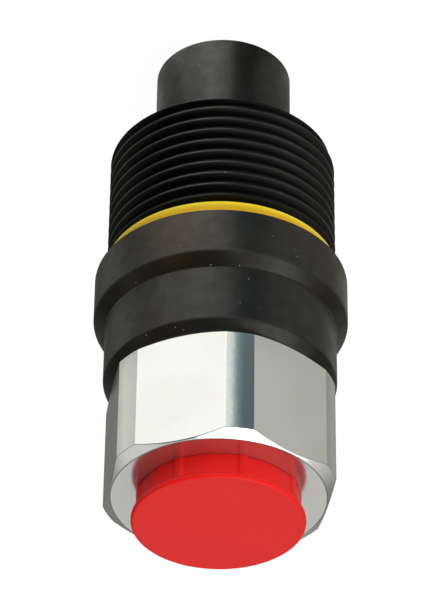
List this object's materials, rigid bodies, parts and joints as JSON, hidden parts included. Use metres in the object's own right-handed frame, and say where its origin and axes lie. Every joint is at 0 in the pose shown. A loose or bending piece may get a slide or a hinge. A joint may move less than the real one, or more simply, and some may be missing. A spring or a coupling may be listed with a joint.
{
  "type": "hydraulic quick coupler",
  "caption": "Male half of a screw-together hydraulic quick coupler: nose with spring-loaded poppet, threaded black body, indicator ring, hexagonal port adapter and dust plug.",
  "frame": {"origin": "centre of the flat nose face, which the part stands on", "axes": "+Z along the coupler's axis from the nose to the hose port; +X along the normal of one of the adapter's six flats"},
  "size_m": [0.055, 0.055, 0.1187],
  "materials": {
    "black_steel": "black phosphated steel, satin",
    "yellow_plastic": "moulded yellow plastic",
    "zinc_steel": "bright zinc-plated steel, turned and milled",
    "red_plastic": "moulded red polyethylene",
    "seal_rubber": "nitrile rubber",
    "white_plastic": "virgin ptfe",
    "valve_steel": "turned and ground steel",
    "spring_steel": "spring wire",
    "bearing_bronze": "sintered bronze"
  },
  "bodies": {
    "coupler_body": {"threaded_body": "black_steel", "indicator_ring": "yellow_plastic", "nose_tube": "black_steel", "nose_o_ring": "seal_rubber", "nose_backup_ring": "white_plastic", "port_adapter": "zinc_steel", "adapter_o_ring": "seal_rubber", "adapter_backup_ring": "white_plastic", "valve_guide": "valve_steel", "guide_bush": "bearing_bronze", "guide_circlip": "spring_steel", "poppet_spring": "spring_steel"},
    "poppet": {"poppet_face": "valve_steel", "poppet_stem": "valve_steel", "poppet_seal": "seal_rubber", "bleed_plug": "valve_steel", "bleed_spring": "spring_steel"},
    "bleed_valve": {"bleed_pin": "valve_steel", "bleed_seal": "seal_rubber"},
    "plug": {"dust_plug": "red_plastic"}
  },
  "joints": [
    {"name": "poppet_slide", "type": "slide", "parent": "coupler_body", "child": "poppet", "axis": [0, 0, 1], "range_m": [0, 0.008], "stiffness_N_per_m": 2500, "springref_m": -0.012, "deforming": ["poppet_spring"]},
    {"name": "bleed_slide", "type": "slide", "parent": "poppet", "child": "bleed_valve", "axis": [0, 0, 1], "range_m": [0, 0.0025], "stiffness_N_per_m": 600, "springref_m": -0.004, "deforming": ["bleed_spring"]},
    {"name": "plug_lift", "type": "slide", "parent": "coupler_body", "child": "plug", "axis": [0, 0, 1], "range_m": [0, 0.035]}
  ]
}
